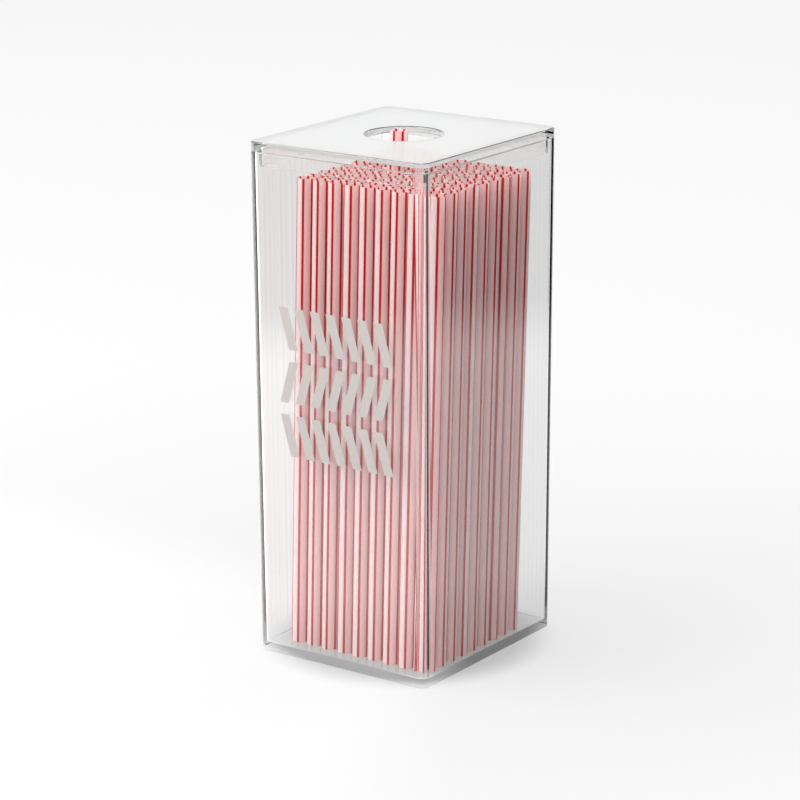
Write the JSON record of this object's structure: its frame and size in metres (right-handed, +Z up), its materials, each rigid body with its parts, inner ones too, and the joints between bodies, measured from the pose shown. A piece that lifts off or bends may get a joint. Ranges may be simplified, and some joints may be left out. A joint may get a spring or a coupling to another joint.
{
  "type": "drinking straw dispenser box",
  "caption": "Tall clear box with a lift-off lid; drinking straws stand in it and are drawn up through a round hole in the lid.",
  "frame": {"origin": "middle of the tub's flat underside", "axes": "+Z up; -Y is the front face, the wider pair of walls runs along Y; +X to the right seen from the front"},
  "size_m": [0.087, 0.096, 0.2172],
  "materials": {
    "clear_plastic": "polished clear moulded styrene",
    "straw_plastic": "thin translucent white extrusion with lengthwise red stripes"
  },
  "bodies": {
    "tub": {"tub": "clear_plastic"},
    "lid": {"lid": "clear_plastic"},
    "straw_bundle": {"straws_front": "straw_plastic", "straws_back": "straw_plastic", "straws_left": "straw_plastic", "straws_right": "straw_plastic", "straws_inside": "straw_plastic"},
    "raised_straw": {"raised_straw": "straw_plastic"},
    "hole_straw_1": {"hole_straw_1": "straw_plastic"},
    "hole_straw_2": {"hole_straw_2": "straw_plastic"},
    "hole_straw_3": {"hole_straw_3": "straw_plastic"},
    "hole_straw_4": {"hole_straw_4": "straw_plastic"}
  },
  "joints": [
    {"name": "lid_lift", "type": "slide", "parent": "tub", "child": "lid", "axis": [0, 0, 1], "range_m": [0, 0.06]},
    {"name": "bundle_lift", "type": "slide", "parent": "tub", "child": "straw_bundle", "axis": [0.0122, 0.0254, 0.9996], "range_m": [0, 0.005]},
    {"name": "raised_straw_slide", "type": "slide", "parent": "tub", "child": "raised_straw", "axis": [0.0122, 0.0254, 0.9996], "range_m": [-0.0168, 0.2]},
    {"name": "hole_straw_1_slide", "type": "slide", "parent": "tub", "child": "hole_straw_1", "axis": [0.0122, 0.0254, 0.9996], "range_m": [0, 0.215]},
    {"name": "hole_straw_2_slide", "type": "slide", "parent": "tub", "child": "hole_straw_2", "axis": [0.0122, 0.0254, 0.9996], "range_m": [0, 0.215]},
    {"name": "hole_straw_3_slide", "type": "slide", "parent": "tub", "child": "hole_straw_3", "axis": [0.0122, 0.0254, 0.9996], "range_m": [0, 0.215]},
    {"name": "hole_straw_4_slide", "type": "slide", "parent": "tub", "child": "hole_straw_4", "axis": [0.0122, 0.0254, 0.9996], "range_m": [0, 0.215]}
  ]
}
